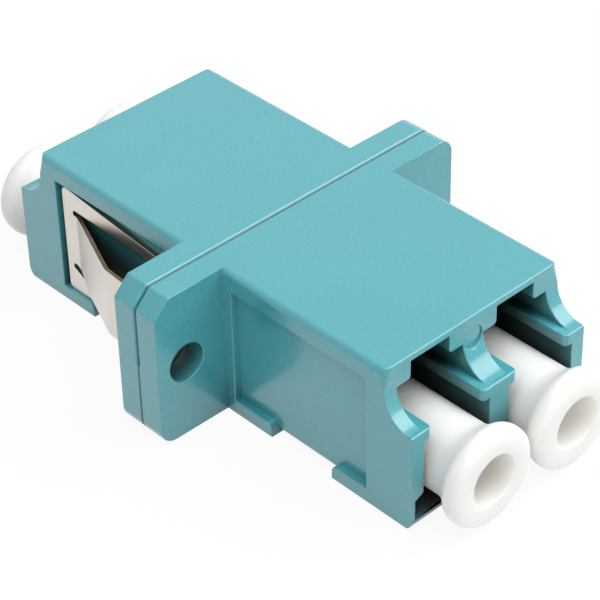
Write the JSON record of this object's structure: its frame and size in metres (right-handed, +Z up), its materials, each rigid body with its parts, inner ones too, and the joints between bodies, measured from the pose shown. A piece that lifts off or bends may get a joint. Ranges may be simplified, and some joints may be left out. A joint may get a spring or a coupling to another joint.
{
  "type": "duplex lc fibre adapter with flange",
  "caption": "Panel-mount duplex LC fibre adapter: welded flanged housing halves, spring panel clip, split sleeves and pull-off dust caps.",
  "frame": {"origin": "on the underside, in the joint plane of the two housing halves, midway between the ears", "axes": "+Y along the fibre axes from the front end to the clip end, +X across the two mounting ears, +Z up towards the latch side"},
  "size_m": [0.022, 0.0366, 0.0094],
  "materials": {
    "aqua_plastic": "fine satin moulded surface",
    "sleeve_ceramic": "polished zirconia",
    "spring_steel": "satin stamped stainless sheet",
    "cap_plastic": "soft satin moulded surface"
  },
  "bodies": {
    "adapter": {"front_housing": "aqua_plastic", "rear_housing": "aqua_plastic", "sleeve_left": "sleeve_ceramic", "sleeve_right": "sleeve_ceramic", "panel_clip": "spring_steel"},
    "front_left_cap": {"front_cap_left": "cap_plastic"},
    "front_right_cap": {"front_cap_right": "cap_plastic"},
    "rear_left_cap": {"rear_cap_left": "cap_plastic"},
    "rear_right_cap": {"rear_cap_right": "cap_plastic"}
  },
  "joints": [
    {"name": "front_left_cap_pull", "type": "slide", "parent": "adapter", "child": "front_left_cap", "axis": [0, -1, 0], "range_m": [0, 0.014]},
    {"name": "front_right_cap_pull", "type": "slide", "parent": "adapter", "child": "front_right_cap", "axis": [0, -1, 0], "range_m": [0, 0.014]},
    {"name": "rear_left_cap_pull", "type": "slide", "parent": "adapter", "child": "rear_left_cap", "axis": [0, 1, 0], "range_m": [0, 0.014]},
    {"name": "rear_right_cap_pull", "type": "slide", "parent": "adapter", "child": "rear_right_cap", "axis": [0, 1, 0], "range_m": [0, 0.014]}
  ]
}
